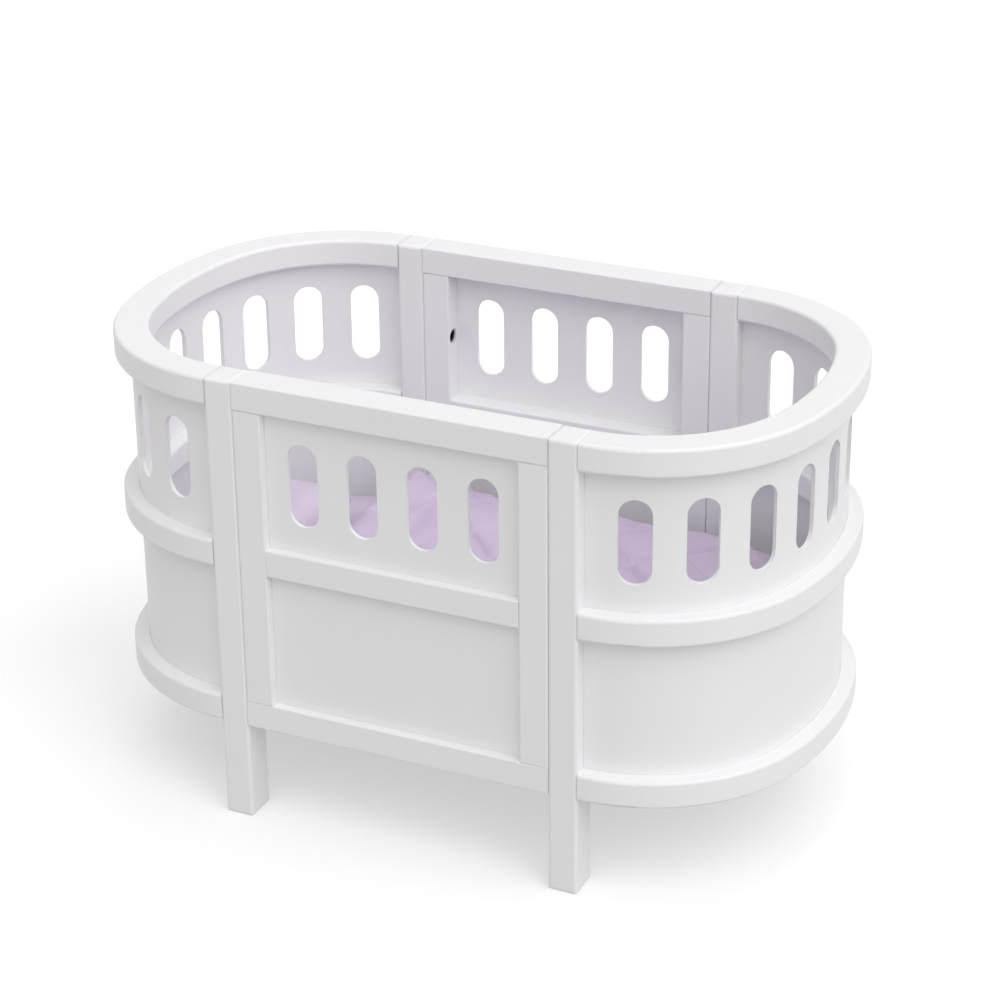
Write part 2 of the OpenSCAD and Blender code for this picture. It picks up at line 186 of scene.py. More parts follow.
@dataclass(frozen=True)
class SprayedEnamel(Finish):
    """White satin enamel sprayed on sanded wood.

    The eye gets a soft sheen with a fine orange peel, and the wood's grain just shows through
    as shallow streaks along each member.
    """

    name: str
    along: Along
    colour: str = "#f6f6f7"
    shade: str = "#f2f2f3"
    roughness: float = 0.42
    peel_mm: float = 1.6
    grain_mm: float = 1.1
    grain_height: float = 0.03 * MM
    edge_mm: float = 0.7
    peel_height: float = 0.02 * MM
    ior: float = 1.48

    def nodes(self) -> None:
        """Mixes two near whites, and stacks peel on grain on softened edges."""
        tree, shader, at = self.start()
        cloud = add_node(
            tree, "TexNoise", {"Vector": at, "Scale": per_mm(60), "Detail": 2.0}
        ).outputs["Fac"]
        colour = add_node(
            tree,
            "Mix",
            {0: cloud, 6: linear(self.shade), 7: linear(self.colour)},
            data_type="RGBA",
        ).outputs[2]
        gloss = add_node(
            tree, "TexNoise", {"Vector": at, "Scale": per_mm(14), "Detail": 3.0}
        ).outputs["Fac"]
        rough = add_node(
            tree,
            "MapRange",
            {0: gloss, 3: self.roughness - 0.05, 4: self.roughness + 0.06},
        ).outputs[0]
        streak = add_node(
            tree, "VectorMath", {0: at, 1: self.along.value}, operation="MULTIPLY"
        ).outputs[0]
        grain = add_node(
            tree,
            "TexNoise",
            {"Vector": streak, "Scale": per_mm(self.grain_mm), "Detail": 3.0},
        ).outputs["Fac"]
        peel = add_node(
            tree,
            "TexNoise",
            {"Vector": at, "Scale": per_mm(self.peel_mm), "Detail": 1.0},
        ).outputs["Fac"]
        edge = add_node(tree, "Bevel", {"Radius": self.edge_mm * MM}, samples=4)
        low = add_node(
            tree,
            "Bump",
            {
                "Height": grain,
                "Distance": self.grain_height,
                "Strength": 0.5,
                "Normal": edge.outputs[0],
            },
        )
        top = add_node(
            tree,
            "Bump",
            {
                "Height": peel,
                "Distance": self.peel_height,
                "Strength": 0.5,
                "Normal": low.outputs[0],
            },
        )
        for name, value in (
            ("Base Color", colour),
            ("Roughness", rough),
            ("Normal", top.outputs[0]),
        ):
            tree.links.new(value, shader.inputs[name])
        shader.inputs["IOR"].default_value = self.ior


@dataclass(frozen=True)
class SandedWood(Finish):
    """Bare wood, sanded: streaks of light and dark grain along it, with darker flecks."""

    name: str
    along: Along
    light: str
    dark: str
    streak_mm: float = 2.2
    roughness: float = 0.62

    def nodes(self) -> None:
        """Mixes two wood tones by stretched noise, with fine fibres as bump."""
        tree, shader, at = self.start()
        stretched = add_node(
            tree, "VectorMath", {0: at, 1: self.along.value}, operation="MULTIPLY"
        ).outputs[0]
        broad = add_node(
            tree,
            "TexNoise",
            {
                "Vector": stretched,
                "Scale": per_mm(self.streak_mm * 3),
                "Detail": 4.0,
                "Distortion": 0.6,
            },
        ).outputs["Fac"]
        fine = add_node(
            tree,
            "TexNoise",
            {
                "Vector": stretched,
                "Scale": per_mm(self.streak_mm / 3),
                "Detail": 2.0,
            },
        ).outputs["Fac"]
        tone = add_node(
            tree, "Math", {0: broad, 1: fine}, operation="MULTIPLY_ADD"
        )
        tone.inputs[2].default_value = 0.1
        spread = add_node(
            tree, "MapRange", {0: tone.outputs[0], 1: 0.22, 2: 0.52}
        ).outputs[0]
        colour = add_node(
            tree,
            "Mix",
            {0: spread, 6: linear(self.dark), 7: linear(self.light)},
            data_type="RGBA",
        ).outputs[2]
        bump = add_node(
            tree, "Bump", {"Height": fine, "Distance": 0.06 * MM, "Strength": 0.6}
        )
        tree.links.new(colour, shader.inputs["Base Color"])
        tree.links.new(bump.outputs[0], shader.inputs["Normal"])
        shader.inputs["Roughness"].default_value = self.roughness


@dataclass(frozen=True)
class TurnedSteel(Finish):
    """Machined steel with a thin finish: even metal with fine marks and small specks."""

    name: str
    colour: str
    worn: str
    roughness: float
    mark_mm: float = 0.35

    def nodes(self) -> None:
        """Mixes the finish's tone with a worn one, and bumps it with fine marks."""
        tree, shader, at = self.start()
        specks = add_node(
            tree, "TexNoise", {"Vector": at, "Scale": per_mm(1.2), "Detail": 4.0}
        ).outputs["Fac"]
        worn = add_node(tree, "MapRange", {0: specks, 1: 0.52, 2: 0.75}).outputs[0]
        colour = add_node(
            tree,
            "Mix",
            {0: worn, 6: linear(self.colour), 7: linear(self.worn)},
            data_type="RGBA",
        ).outputs[2]
        rough = add_node(
            tree,
            "MapRange",
            {0: specks, 3: self.roughness - 0.06, 4: self.roughness + 0.1},
        ).outputs[0]
        marks = add_node(
            tree,
            "TexNoise",
            {"Vector": at, "Scale": per_mm(self.mark_mm), "Detail": 1.0},
        ).outputs["Fac"]
        bump = add_node(
            tree, "Bump", {"Height": marks, "Distance": 0.02 * MM, "Strength": 0.4}
        )
        tree.links.new(colour, shader.inputs["Base Color"])
        tree.links.new(rough, shader.inputs["Roughness"])
        tree.links.new(bump.outputs[0], shader.inputs["Normal"])
        shader.inputs["Metallic"].default_value = 1.0


@dataclass(frozen=True)
class WovenCotton(Finish):
    """Plain-weave cotton, washed: matt, with a faint bloom and soft uneven dye.

    Real threads lie 0.3 mm apart, which is too fine to show, so they are drawn 0.9 mm apart.
    """

    name: str
    colour: str
    deep: str
    thread_mm: float = 0.9
    thread_height: float = 0.09 * MM

    def nodes(self) -> None:
        """Multiplies two sets of ridges into a weave, for both bump and tone."""
        tree, shader, at = self.start()
        parts = add_node(tree, "SeparateXYZ", {0: at}).outputs
        ridges = []
        for across in (parts["X"], parts["Y"]):
            # warp and weft both lean on the height, so that a side face has a weave as well
            place = add_node(
                tree, "Math", {0: parts["Z"], 1: 0.5, 2: across}, operation="MULTIPLY_ADD"
            ).outputs[0]
            turn = add_node(
                tree,
                "Math",
                {0: place, 1: 2 * math.pi * per_mm(2 * self.thread_mm)},
                operation="MULTIPLY",
            ).outputs[0]
            ridges.append(
                add_node(tree, "Math", {0: turn}, operation="SINE").outputs[0]
            )
        weave = add_node(
            tree, "Math", {0: ridges[0], 1: ridges[1]}, operation="MULTIPLY"
        ).outputs[0]
        slub = add_node(
            tree,
            "TexNoise",
            {"Vector": at, "Scale": per_mm(3.5), "Detail": 4.0},
        ).outputs["Fac"]
        cloud = add_node(
            tree,
            "TexNoise",
            {"Vector": at, "Scale": per_mm(45), "Detail": 3.0},
        ).outputs["Fac"]
        shade = add_node(
            tree, "Math", {0: weave, 1: 0.10, 2: cloud}, operation="MULTIPLY_ADD"
        ).outputs[0]
        spread = add_node(tree, "MapRange", {0: shade, 1: 0.25, 2: 0.7}).outputs[0]
        colour = add_node(
            tree,
            "Mix",
            {0: spread, 6: linear(self.deep), 7: linear(self.colour)},
            data_type="RGBA",
        ).outputs[2]
        height = add_node(
            tree, "Math", {0: slub, 1: 0.8, 2: weave}, operation="MULTIPLY_ADD"
        ).outputs[0]
        bump = add_node(
            tree,
            "Bump",
            {"Height": height, "Distance": self.thread_height, "Strength": 0.55},
        )
        tree.links.new(colour, shader.inputs["Base Color"])
        tree.links.new(bump.outputs[0], shader.inputs["Normal"])
        shader.inputs["Roughness"].default_value = 0.88
        shader.inputs["Sheen Weight"].default_value = 0.25
        shader.inputs["Sheen Roughness"].default_value = 0.4


ENAMEL_LENGTH = SprayedEnamel("satin_enamel_on_straight_rails", Along.LENGTH)
ENAMEL_HEIGHT = SprayedEnamel("satin_enamel_on_posts_and_stiles", Along.HEIGHT)
ENAMEL_ROUND = SprayedEnamel("satin_enamel_on_bent_rails", Along.ROUND)
ENAMEL_PANEL = SprayedEnamel(
    "satin_enamel_on_thin_panels", Along.ROUND, grain_height=0.012 * MM, peel_mm=2.0
)
BEECH = SandedWood("sanded_beech", Along.LENGTH, "#dcc096", "#c29f6e")
BLACK_OXIDE = TurnedSteel("black_oxide_steel", "#1d1d1f", "#3a3a3c", 0.38)
BRIGHT_ZINC = TurnedSteel("zinc_plated_steel", "#c6c8ca", "#a9abae", 0.3)
LILAC_COVER = WovenCotton("lilac_percale_cover", "#dfd3e5", "#d5c7dd")
LILAC_QUILT = WovenCotton("lilac_washed_cotton_quilt", "#d8c9e0", "#ccbbd6")
LILAC_TRIM = WovenCotton("lilac_bias_trim", "#cbbad8", "#bfacce", thread_mm=0.7)


# ---- mesh work ----


def mesh_piece(
    name: str, points: np.ndarray, faces: list[list[int]]
) -> bpy.types.Object:
    """Makes a smooth-shaded object at the origin.

    Args:
        name: Its name, and its mesh's.
        points: Its points, n by 3.
        faces: For each face the numbers of its points, counter-clockwise from outside.

    Returns:
        The object.
    """
    mesh = bpy.data.meshes.new(name)
    mesh.from_pydata(points.tolist(), [], faces)
    mesh.polygons.foreach_set("use_smooth", np.ones(len(mesh.polygons), bool))
    mesh.update()
    piece = bpy.data.objects.new(name, mesh)
    bpy.context.scene.collection.objects.link(piece)
    return piece


def points_of(piece: bpy.types.Object, what: str = "co") -> np.ndarray:
    """Reads one vector of each of a mesh's points.

    Args:
        piece: The piece.
        what: Which vector: "co" is its place and "normal" its normal.

    Returns:
        The vectors, n by 3.
    """
    flat = np.zeros(len(piece.data.vertices) * 3)
    piece.data.vertices.foreach_get(what, flat)
    return flat.reshape(-1, 3)


def move_points(piece: bpy.types.Object, points: np.ndarray) -> None:
    """Puts new points into a mesh."""
    piece.data.vertices.foreach_set("co", points.ravel())
    piece.data.update()


def apply_modifiers(piece: bpy.types.Object) -> None:
    """Turns what the modifiers show into the piece's own smooth mesh.

    Args:
        piece: The piece, which has no modifiers afterwards.
    """
    seen = piece.evaluated_get(bpy.context.evaluated_depsgraph_get())
    mesh = bpy.data.meshes.new_from_object(seen)
    piece.modifiers.clear()
    old, piece.data = piece.data, mesh
    bpy.data.meshes.remove(old)
    mesh.name = piece.name
    mesh.polygons.foreach_set("use_smooth", np.ones(len(mesh.polygons), bool))


def subdivide(piece: bpy.types.Object) -> None:
    """Gives a piece its smooth subdivision.

    Args:
        piece: The piece.
    """
    step = piece.modifiers.new("subdivision", "SUBSURF")
    step.levels = step.render_levels = SUBDIVISION
    apply_modifiers(piece)


@dataclass
class Outline:
    """A closed plan outline, evenly spaced and counter-clockwise, with its inward normals."""

    points: np.ndarray

    @classmethod
    def of_node(cls, node: str, count: int, rounding: float = 0.0) -> "Outline":
        """Reads the convex plan outline of a CAD node.

        In each of many directions the node's furthest point is on the outline. These points
        in order are then spaced evenly by length, and rounded by a moving average.

        Args:
            node: The node's name.
            count: How many points the outline gets.
            rounding: The length of the moving average that eases its corners.

        Returns:
            The outline.
        """
        flat = points_of(frame["nodes"][node])[:, :2]
        turn = np.linspace(0, 2 * math.pi, 1440, endpoint=False)
        furthest = np.argmax(flat @ np.array([np.cos(turn), np.sin(turn)]), axis=0)
        kept = furthest[np.append(True, np.diff(furthest) != 0)]
        ring = flat[kept]
        ring = ring[np.linalg.norm(ring - np.roll(ring, 1, axis=0), axis=1) > 1e-6]
        made = cls(ring).spaced(count)
        if rounding:
            width = max(1, round(rounding / made.step()))
            near = np.arange(-width, width + 1)
            around = (np.arange(count)[:, None] + near) % count
            weight = 1 - np.abs(near) / (width + 1)
            weight /= weight.sum()
            made = cls(np.einsum("ijk,j->ik", made.points[around], weight)).spaced(count)
        return made

    def spaced(self, count: int) -> "Outline":
        """Spaces the outline evenly by length.

        Args:
            count: How many points it gets.

        Returns:
            The new outline, which starts at the same point.
        """
        ring = np.vstack([self.points, self.points[:1]])
        run = np.append(0, np.cumsum(np.linalg.norm(np.diff(ring, axis=0), axis=1)))
        at = np.linspace(0, run[-1], count, endpoint=False)
        return Outline(
            np.column_stack([np.interp(at, run, ring[:, i]) for i in (0, 1)])
        )

    def step(self) -> float:
        """Gives the distance between neighbouring points."""
        return float(np.linalg.norm(self.points[1] - self.points[0]))

    def inward(self) -> np.ndarray:
        """Turns the direction from each point's second neighbour to the other by a quarter.

        Returns:
            The unit normals that point into the outline, n by 2.
        """
        along = np.roll(self.points, -2, axis=0) - np.roll(self.points, 2, axis=0)
        along /= np.linalg.norm(along, axis=1, keepdims=True)
        return np.column_stack([-along[:, 1], along[:, 0]])

    def inset(self, distance: np.ndarray | float) -> np.ndarray:
        """Moves the outline inwards by a distance."""
        return self.points + self.inward() * np.reshape(distance, (-1, 1))


def padded_shell(name: str, outline: Outline, rows: np.ndarray) -> bpy.types.Object:
    """Makes a closed form from an outline and a profile of rows.

    Row i of the grid is the outline moved inwards by inset i, then shrunk about its middle by
    share i, at height i. The first and last rows close on a middle point each.

    Args:
        name: The piece's name.
        outline: The plan outline.
        rows: For each row its inset, share and height, from the bottom's middle to the top's.

    Returns:
        The piece.
    """
    count = len(outline.points)
    middle = outline.points.mean(0)
    plan = np.array(
        [(outline.inset(inset) - middle) * share + middle for inset, share, _ in rows]
    )
    high = np.broadcast_to(rows[:, 2][:, None, None], (len(rows), count, 1))
    grid = np.concatenate([plan, high], axis=2).reshape(-1, 3)
    ends = [[*middle, rows[0, 2]], [*middle, rows[-1, 2]]]
    index = np.arange(len(rows) * count).reshape(len(rows), count)
    after = np.roll(index, -1, axis=1)
    quads = np.stack([index[:-1], after[:-1], after[1:], index[1:]], axis=2)
    bottom, top = len(grid), len(grid) + 1
    fans = [[bottom, int(b), int(a)] for a, b in zip(index[0], after[0])]
    fans += [[top, int(a), int(b)] for a, b in zip(index[-1], after[-1])]
    faces = quads.reshape(-1, 4).tolist() + fans
    return mesh_piece(name, np.vstack([grid, ends]), faces)


def inflate(
    piece: bpy.types.Object, voxel: float, pressure: float, cap: float
) -> None:
    """Fills a closed form as stuffing does, with a short cloth simulation.

    The form is remeshed evenly, blown up under pressure with no gravity, and no point may
    move further than the cap. The result is the piece's own mesh, subdivided once.

    Args:
        piece: The closed form.
        voxel: The size of the even mesh's cells.
        pressure: The pressure inside.
        cap: The furthest that a point may move.
    """
    remesh = piece.modifiers.new("even", "REMESH")
    remesh.mode = "VOXEL"
    remesh.voxel_size = voxel
    apply_modifiers(piece)
    scene = bpy.context.scene
    start = points_of(piece)
    cloth = piece.modifiers.new("stuffing", "CLOTH")
    cloth.settings.use_pressure = True
    cloth.settings.uniform_pressure_force = pressure
    cloth.settings.quality = 5
    cloth.settings.tension_stiffness = 12
    cloth.settings.bending_stiffness = 0.3
    cloth.settings.effector_weights.gravity = 0
    for step in range(1, SIM_FRAMES + 1):
        scene.frame_set(step)
    seen = piece.evaluated_get(bpy.context.evaluated_depsgraph_get())
    moved = points_of(seen) - start
    length = np.linalg.norm(moved, axis=1, keepdims=True)
    piece.modifiers.clear()
    held = np.minimum(1, cap / np.maximum(length, 1e-9))
    move_points(piece, start + moved * held)
    scene.frame_set(1)
    subdivide(piece)


def tube(name: str, path: np.ndarray, radius: float, sides: int = 10) -> bpy.types.Object:
    """Carries a circle along a closed path.

    At each point the circle lies across the path, turned by the horizontal normal and the
    vertical, so that it never twists.

    Args:
        name: The piece's name.
        path: The closed path, n by 3.
        radius: The circle's radius.
        sides: How many sides it has.

    Returns:
        The piece.
    """
    along = np.roll(path, -1, axis=0) - np.roll(path, 1, axis=0)
    along /= np.linalg.norm(along, axis=1, keepdims=True)
    out = np.cross(along, (0.0, 0.0, 1.0))
    out /= np.linalg.norm(out, axis=1, keepdims=True)
    up = np.cross(out, along)
    turn = np.linspace(0, 2 * math.pi, sides, endpoint=False)
    ring = (
        out[:, None] * np.cos(turn)[None, :, None]
        + up[:, None] * np.sin(turn)[None, :, None]
    )
    grid = path[:, None] + radius * ring
    index = np.arange(grid.shape[0] * sides).reshape(-1, sides)
    ahead, beside = np.roll(index, -1, axis=0), np.roll(index, -1, axis=1)
    both = np.roll(ahead, -1, axis=1)
    faces = np.stack([index, beside, both, ahead], axis=2).reshape(-1, 4)
    return mesh_piece(name, grid.reshape(-1, 3), faces.tolist())


def surface_ring(piece: bpy.types.Object, outline: Outline, height: float) -> np.ndarray:
    """Finds where a piece's side is at one height, all the way round.

    From outside each point of the outline a ray runs inwards at that height to the piece.

    Args:
        piece: The piece.
        outline: The outline that the rays start from.
        height: The height of the ring.

    Returns:
        The closed ring of points on the piece, eased a little along it.
    """
    tree = BVHTree.FromObject(piece, bpy.context.evaluated_depsgraph_get())
    start = outline.inset(-RAY_START)
    inward = outline.inward()
    ring = []
    for (x, y), (dx, dy) in zip(start, inward):
        hit = tree.ray_cast(Vector((x, y, height)), Vector((dx, dy, 0)))[0]
        if hit is None:
            hit = Vector((x + RAY_START * dx, y + RAY_START * dy, height))
        ring.append(hit)
    found = np.array(ring)
    for _ in range(3):
        found = (np.roll(found, 1, axis=0) + 2 * found + np.roll(found, -1, axis=0)) / 4
    return found


# ---- the crib's parts ----


@dataclass
class CribFrame:
    """The wooden frame, its base and its hardware: CAD nodes that only get their finish."""

    body: str = "crib_frame"

    def finish_of(self, node: str) -> Finish:
        """Chooses a node's finish from its name.

        Args:
            node: The node's name.

        Returns:
            The finish.
        """
        hardware = {
            "connector_bolts": BLACK_OXIDE,
            "threaded_inserts": BRIGHT_ZINC,
            "cleat_screws": BRIGHT_ZINC,
            "base_screws": BRIGHT_ZINC,
            "base_board": ENAMEL_PANEL,
        }
        if node in hardware:
            return hardware[node]
        if "dowels" in node:
            return BEECH
        if "cleat" in node:
            return ENAMEL_LENGTH
        if "panel" in node:
            return ENAMEL_PANEL
        if "post" in node or "stile" in node:
            return ENAMEL_HEIGHT
        return ENAMEL_ROUND if "_end_" in node else ENAMEL_LENGTH

    def build(self) -> None:
        """Dresses every node of the frame."""
        nodes = frame["record"]["behaviour"]["bodies"][self.body]
        for node in nodes:
            self.finish_of(node).dress(frame["nodes"][node])
        log.info("frame: %d nodes dressed", len(nodes))


@dataclass
class SoftPiece:
    """One loose soft piece, which stands for the CAD node and rides on the body of its name."""

    node: str
    slot: str
    finish: Finish

    def place(self, piece: bpy.types.Object, fill: float | None = None) -> None:
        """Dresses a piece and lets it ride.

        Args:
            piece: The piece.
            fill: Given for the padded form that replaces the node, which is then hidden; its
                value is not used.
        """
        if not piece.data.materials:
            self.finish.dress(piece)
        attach(piece, self.node)
        if fill is not None:
            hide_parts(self.node)
        log.info("%s: %d faces", piece.name, len(piece.data.polygons))

    def rest_on(self, piece: bpy.types.Object, floor: float) -> None:
        """Flattens a piece where it lies on what is under it.

        Args:
            piece: The piece.
            floor: The height that none of its points stays under.
        """
        points = points_of(piece)
        points[:, 2] = np.maximum(points[:, 2], floor)
        move_points(piece, points)


@dataclass
class Mattress(SoftPiece):
    """A boxed foam mattress: a crowned top and bottom, a side band and two piped edges."""

    edge: float = 7 * MM
    crown: float = 2.5 * MM
    piping: float = 1.3 * MM
    start_in: float = 4 * MM
    wave_height: float = 1.2 * MM
    ripple_height: float = 0.35 * MM

    def build(self) -> None:
        """Builds the pad, then its piping on the finished surface."""
        low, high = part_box(self.node)
        outline = Outline.of_node(self.node, 360)
        pad = padded_shell(self.node + "_pad", outline, self.profile(low.z, high.z))
        inflate(pad, voxel=5 * MM, pressure=3.0, cap=3.5 * MM)
        self.shape_top(pad, low.z, high.z)
        self.rest_on(pad, low.z + REST_GAP)
        self.place(pad, fill=0.8)
        for name, height in (("lower", low.z + self.edge), ("upper", high.z - self.edge)):
            ring = surface_ring(pad, outline, height)
            trim = tube(f"{self.node}_{name}_piping", ring, self.piping)
            LILAC_TRIM.dress(trim)
            self.place(trim)

    def profile(self, low: float, high: float) -> np.ndarray:
        """Gives the box's section: flat faces, and a quarter-round at each edge.

        Args:
            low: The height of the node's bottom.
            high: The height of its top.

        Returns:
            The rows of the padded shell.
        """
        turn = np.linspace(0, math.pi / 2, 6)
        inset = self.start_in + self.edge * (1 - np.sin(turn))
        rise = self.edge * (1 - np.cos(turn))
        deep = self.start_in + self.edge
        rows = [(deep, share, low + 1 * MM) for share in FLAT_SHARES]
        rows += [(i, 1, low + 1 * MM + r) for i, r in zip(inset, rise)]
        rows += [(i, 1, high - 2 * MM - r) for i, r in zip(inset[::-1], rise[::-1])]
        rows += [(deep, share, high - 2 * MM) for share in reversed(FLAT_SHARES)]
        return np.array(rows)

    def shape_top(self, pad: bpy.types.Object, low: float, high: float) -> None:
        """Adds the soft unevenness of a foam pad in a loose cover, and keeps it in its box.

        Each point rises by two smooth random fields, times its share of the way from the
        middle height to the top.

        Args:
            pad: The pad.
            low: The height of the node's bottom.
            high: The height of its top.
        """
        points = points_of(pad)
        share = np.clip((points[:, 2] - (low + high) / 2) / ((high - low) / 2), -1, 1)
        wave = ripples(points[:, :2], 90 * MM, count=14, seed=3) * self.wave_height
        wave += ripples(points[:, :2], 30 * MM, count=18, seed=4) * self.ripple_height
        points[:, 2] += wave * np.maximum(share, 0)
        points[:, 2] = np.minimum(points[:, 2], high + self.crown)
        move_points(pad, points)


@dataclass
class Pillow(SoftPiece):
    """A stuffed pillow: full in the middle, thin at its piped seam, with pulled-in sides."""

    pull: float = 4 * MM
    piping: float = 1.2 * MM
    seam_share: float = 0.42
    plan_in: float = 6 * MM
    squareness: float = 7
    gathers: int = 46
    gather_height: float = 0.55 * MM
    fold_height: float = 0.9 * MM
    dent: float = 5 * MM

    def build(self) -> None:
        """Builds the pillow, its creases and its piping."""
        low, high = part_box(self.node)
        seam = low.z + self.seam_share * (high.z - low.z)
        outline = self.plan(low, high)
        rows = self.profile(low.z, high.z, seam)
        pad = padded_shell(self.node + "_pad", outline, rows)
        inflate(pad, voxel=4 * MM, pressure=4.0, cap=6 * MM)
        self.crease(pad, low, high, seam)
        self.rest_on(pad, low.z + REST_GAP)
        self.place(pad, fill=0.7)
        trim = tube(self.node + "_piping", surface_ring(pad, outline, seam), self.piping)
        LILAC_TRIM.dress(trim)
        self.place(trim)

    def plan(self, low: Vector, high: Vector) -> Outline:
        """Gives the plan: a superellipse whose sides pull in between its corners.

        Args:
            low: The node's lowest corner.
            high: Its highest corner.

        Returns:
            The outline.
        """
        turn = np.linspace(0, 2 * math.pi, 240, endpoint=False)
        half = np.array([(high.x - low.x) / 2, (high.y - low.y) / 2]) - self.plan_in
        middle = np.array([(high.x + low.x) / 2, (high.y + low.y) / 2])
        c, s = np.cos(turn), np.sin(turn)
        power = self.squareness
        reach = (np.abs(c) ** power + np.abs(s) ** power) ** (-1 / power)
        unit = np.column_stack([c * reach, s * reach])
        pull = self.pull * (1 - np.minimum(np.abs(unit[:, 0]), np.abs(unit[:, 1])) ** 2)
        return Outline(middle + unit * (half - pull[:, None])).spaced(240)

    def profile(self, low: float, high: float, seam: float) -> np.ndarray:
        """Gives the section: from the flat bottom out to the seam and up over the crown.

        Under and over the seam the height falls away from it by a power of one less a power
        of the share of the way out.

        Args:
            low: The height of the node's bottom.
            high: The height of its top.
            seam: The height of the seam.

        Returns:
            The rows of the padded shell.
        """
        share = np.array([0.02, 0.2, 0.4, 0.6, 0.75, 0.87, 0.95, 1.0])
        under = seam - (seam - low - 1 * MM) * (1 - share**5) ** 0.6
        over = seam + (high - 5 * MM - seam) * (1 - share**3) ** 0.62
        rows = [(0, s, z) for s, z in zip(share, under)]
        rows += [(0, s, z) for s, z in zip(share[-2::-1], over[-2::-1])]
        return np.array(rows)

    def crease(
        self, pad: bpy.types.Object, low: Vector, high: Vector, seam: float
    ) -> None:
        """Adds short gathers that run in from the seam, and a soft dent for a head.

        The gathers are a sine of the angle about the middle, the folds a smooth random field
        and the dent a bell curve of the distance from the middle.

        Args:
            pad: The pillow.
            low: The node's lowest corner.
            high: Its highest corner.
            seam: The height of the seam, above which the points move.
        """
        points = points_of(pad)
        middle = np.array([(high.x + low.x) / 2, (high.y + low.y) / 2])
        half = np.array([(high.x - low.x) / 2, (high.y - low.y) / 2])
        away = (points[:, :2] - middle) / half
        edge = np.clip(np.max(np.abs(away), axis=1), 0, 1)
        turn = np.arctan2(away[:, 1], away[:, 0])[:, None]
        gathers = np.sin(turn * self.gathers + 2.2 * np.sin(turn * 5))[:, 0]
        gathers *= self.gather_height * np.clip((edge - 0.45) / 0.45, 0, 1)
        folds = ripples(points, 34 * MM, count=16, seed=8) * self.fold_height
        dent = self.dent * np.exp(-((away**2).sum(1)) / 0.22)
        top = points[:, 2] > seam
        points[:, 2] += np.where(top, gathers + folds - dent, 0)
        move_points(pad, points)


@dataclass
class Blanket(SoftPiece):
    """A plump quilt laid over the foot of the bed, its top edge folded back."""

    flap: float = 58 * MM
    body_height: float = 0.72
    diamond: float = 44 * MM
    channel: float = 2.6 * MM
    channel_depth: float = 3.2 * MM
    binding: float = 1.5 * MM
    binding_height: float = 9 * MM
    step_length: float = 1.6 * MM
    wave_height: float = 1.6 * MM
    puff: float = 1.2 * MM

    def build(self) -> None:
        """Builds the quilt, its folded edge, its quilting and its binding."""
        low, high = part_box(self.node)
        outline = Outline.of_node(self.node, 300, rounding=12 * MM)
        pad = padded_shell(self.node + "_quilt", outline, self.profile(low.z, high.z))
        inflate(pad, voxel=4 * MM, pressure=3.0, cap=5 * MM)
        self.fold_and_quilt(pad, low, high)
        self.rest_on(pad, low.z + REST_GAP)
        self.place(pad, fill=0.5)
        edge = surface_ring(pad, outline, low.z + self.binding_height)
        trim = tube(self.node + "_binding", edge, self.binding)
        LILAC_TRIM.dress(trim)
        self.place(trim)

    def profile(self, low: float, high: float) -> np.ndarray:
        """Gives the section: a flat bottom, a full rounded edge and a flat top.

        Args:
            low: The height of the node's bottom.
            high: The height of its top.

        Returns:
            The rows of the padded shell.
        """
        height = high - low - 4 * MM
        radius = height / 2
        turn = np.linspace(-math.pi / 2, math.pi / 2, 12)
        inset = 4 * MM + radius * (1 - np.cos(turn))
        rise = low + 1 * MM + radius * (1 + np.sin(turn))
        rows = [(inset[0], share, rise[0]) for share in FLAT_SHARES]
        rows += [(i, 1, z) for i, z in zip(inset, rise)]
        rows += [(inset[-1], share, rise[-1]) for share in reversed(FLAT_SHARES)]
        return np.array(rows)

    def fold_and_quilt(self, pad: bpy.types.Object, low: Vector, high: Vector) -> None:
        """Lowers the quilt past its folded edge, and sews its diamonds.

        The height above the bed is scaled by a smooth step from the flap to the body. The
        channels follow two sets of slanting lines, and a point sinks along its normal by a
        bell curve of its distance from the nearest line.

        Args:
            pad: The quilt.
            low: The node's lowest corner.
            high: Its highest corner.
        """
        points = points_of(pad)
        wander = 5 * MM * np.sin(points[:, 1] / (38 * MM))
        wander += 2 * MM * np.sin(points[:, 1] / (13 * MM))
        past = points[:, 0] - low.x - self.flap - wander
        step = 1 / (1 + np.exp(-past / self.step_length))
        uneven = 0.12 * ripples(points[:, :2], 120 * MM, count=10, seed=21)
        body = step * (self.body_height + uneven)
        share = (1 - step) + body
        rise = points[:, 2] - low.z
        points[:, 2] = low.z + rise * share
        height = high.z - low.z
        top = np.clip((rise - 0.35 * height) / (0.3 * height), 0, 1)
        wave = ripples(points[:, :2], 55 * MM, count=14, seed=22)
        points[:, 2] += top * wave * self.wave_height
        move_points(pad, points)
        normals = points_of(pad, "normal")
        gap = np.full(len(points), np.inf)
        for slant in (1, -1):
            across = (points[:, 0] + slant * points[:, 1]) / math.sqrt(2)
            off = np.abs((across / self.diamond + 0.5) % 1 - 0.5) * self.diamond
            gap = np.minimum(gap, off)
        sunk = np.exp(-((gap / self.channel) ** 2)) * self.channel_depth
        puff = self.puff * np.clip(gap / (self.diamond / 2), 0, 1) ** 0.6
        near_fold = np.exp(-((past / (6 * MM)) ** 2))
        sewn = top * (1 - near_fold)
        points += normals * ((puff - sunk) * sewn)[:, None]
        move_points(pad, points)


# ---- studio ----


